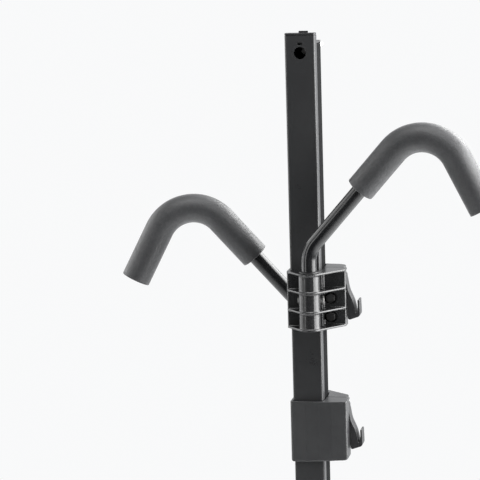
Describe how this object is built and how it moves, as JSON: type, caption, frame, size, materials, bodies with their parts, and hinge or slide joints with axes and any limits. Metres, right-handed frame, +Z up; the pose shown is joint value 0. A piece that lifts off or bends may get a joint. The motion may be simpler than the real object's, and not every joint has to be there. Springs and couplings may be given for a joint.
{
  "type": "bicycle wall rack",
  "caption": "Wall-mounted mast with sliding cam-locked carriages, each holding a bent, foam-covered arm that swivels to hang a bicycle.",
  "frame": {"origin": "centre of the wall plate's back face, on the wall", "axes": "+Y into the wall, +Z up along the mast, +X to the right seen from the room"},
  "size_m": [0.3791, 0.188, 0.7664],
  "materials": {
    "black_paint": "satin black powder coat",
    "black_casting": "satin black cast surface",
    "black_plastic": "moulded black",
    "foam_rubber": "matt closed-cell foam grip",
    "zinc_steel": "zinc plated",
    "black_steel": "black oxide",
    "nylon": "natural nylon"
  },
  "bodies": {
    "wall_frame": {"channel_bottom_cap": "black_plastic", "channel_top_cap": "black_plastic", "lower_bracket_screw": "zinc_steel", "lower_left_lag_screw": "zinc_steel", "lower_left_lag_washer": "zinc_steel", "lower_mast_bolt": "zinc_steel", "lower_mast_nut": "zinc_steel", "lower_right_lag_screw": "zinc_steel", "lower_right_lag_washer": "zinc_steel", "mast_front_channel": "black_paint", "mast_rear_tube": "black_paint", "standoff_bracket": "black_paint", "top_stud_inner_nut": "black_steel", "top_stud_outer_nut": "zinc_steel", "top_stud_washer": "zinc_steel", "top_wall_stud": "zinc_steel", "tube_bottom_cap": "black_plastic", "tube_top_cap": "black_plastic", "upper_bracket_screw": "zinc_steel", "upper_left_lag_screw": "zinc_steel", "upper_left_lag_washer": "zinc_steel", "upper_mast_bolt": "zinc_steel", "upper_mast_nut": "zinc_steel", "upper_right_lag_screw": "zinc_steel", "upper_right_lag_washer": "zinc_steel", "wall_plate": "black_paint"},
    "upper_carriage": {"upper_arm_retaining_bolt": "zinc_steel", "upper_arm_retaining_nut": "zinc_steel", "upper_cam_pin": "black_steel", "upper_clamp_bolt_bottom": "black_steel", "upper_clamp_bolt_top": "black_steel", "upper_clamp_nut_bottom": "zinc_steel", "upper_clamp_nut_top": "zinc_steel", "upper_cover_half": "black_casting", "upper_socket_bush": "black_plastic", "upper_socket_half": "black_casting"},
    "upper_clamp": {"upper_clamp_shoe": "nylon", "upper_push_block": "zinc_steel"},
    "upper_lever": {"upper_cam_lever": "black_plastic"},
    "upper_arm": {"upper_arm_foam_sleeve": "foam_rubber", "upper_arm_rod": "black_paint"},
    "lower_carriage": {"lower_arm_retaining_bolt": "zinc_steel", "lower_arm_retaining_nut": "zinc_steel", "lower_cam_pin": "black_steel", "lower_clamp_bolt_bottom": "black_steel", "lower_clamp_bolt_top": "black_steel", "lower_clamp_nut_bottom": "zinc_steel", "lower_clamp_nut_top": "zinc_steel", "lower_cover_half": "black_casting", "lower_socket_bush": "black_plastic", "lower_socket_half": "black_casting"},
    "lower_clamp": {"lower_clamp_shoe": "nylon", "lower_push_block": "zinc_steel"},
    "lower_lever": {"lower_cam_lever": "black_plastic"},
    "lower_arm": {"lower_arm_foam_sleeve": "foam_rubber", "lower_arm_rod": "black_paint"}
  },
  "joints": [
    {"name": "upper_carriage_slide", "type": "slide", "parent": "wall_frame", "child": "upper_carriage", "axis": [0, 0, 1], "range_m": [-0.03, 0.15]},
    {"name": "upper_arm_swivel", "type": "hinge", "parent": "upper_carriage", "child": "upper_arm", "pos_m": [0.0065, -0.115, 0.389], "axis": [0, 0, 1], "range_deg": [-110, 28]},
    {"name": "upper_lever_hinge", "type": "hinge", "parent": "upper_carriage", "child": "upper_lever", "pos_m": [0.0335, -0.08, 0.38], "axis": [0, -1, 0], "range_deg": [0, 70]},
    {"name": "upper_shoe_slide", "type": "slide", "parent": "upper_carriage", "child": "upper_clamp", "axis": [1, 0, 0], "range_m": [0, 0.0008]},
    {"name": "lower_carriage_slide", "type": "slide", "parent": "wall_frame", "child": "lower_carriage", "axis": [0, 0, 1], "range_m": [-0.14, 0.03]},
    {"name": "lower_arm_swivel", "type": "hinge", "parent": "lower_carriage", "child": "lower_arm", "pos_m": [-0.0065, -0.045, 0.2575], "axis": [0, 0, 1], "range_deg": [-24, 1.5]},
    {"name": "lower_lever_hinge", "type": "hinge", "parent": "lower_carriage", "child": "lower_lever", "pos_m": [0.0335, -0.08, 0.2485], "axis": [0, -1, 0], "range_deg": [0, 70]},
    {"name": "lower_shoe_slide", "type": "slide", "parent": "lower_carriage", "child": "lower_clamp", "axis": [1, 0, 0], "range_m": [0, 0.0008]}
  ],
  "couplings": [
    {"joint": "upper_shoe_slide", "follows": "upper_lever_hinge", "m_per_rad": 0.00065},
    {"joint": "lower_shoe_slide", "follows": "lower_lever_hinge", "m_per_rad": 0.00065}
  ]
}
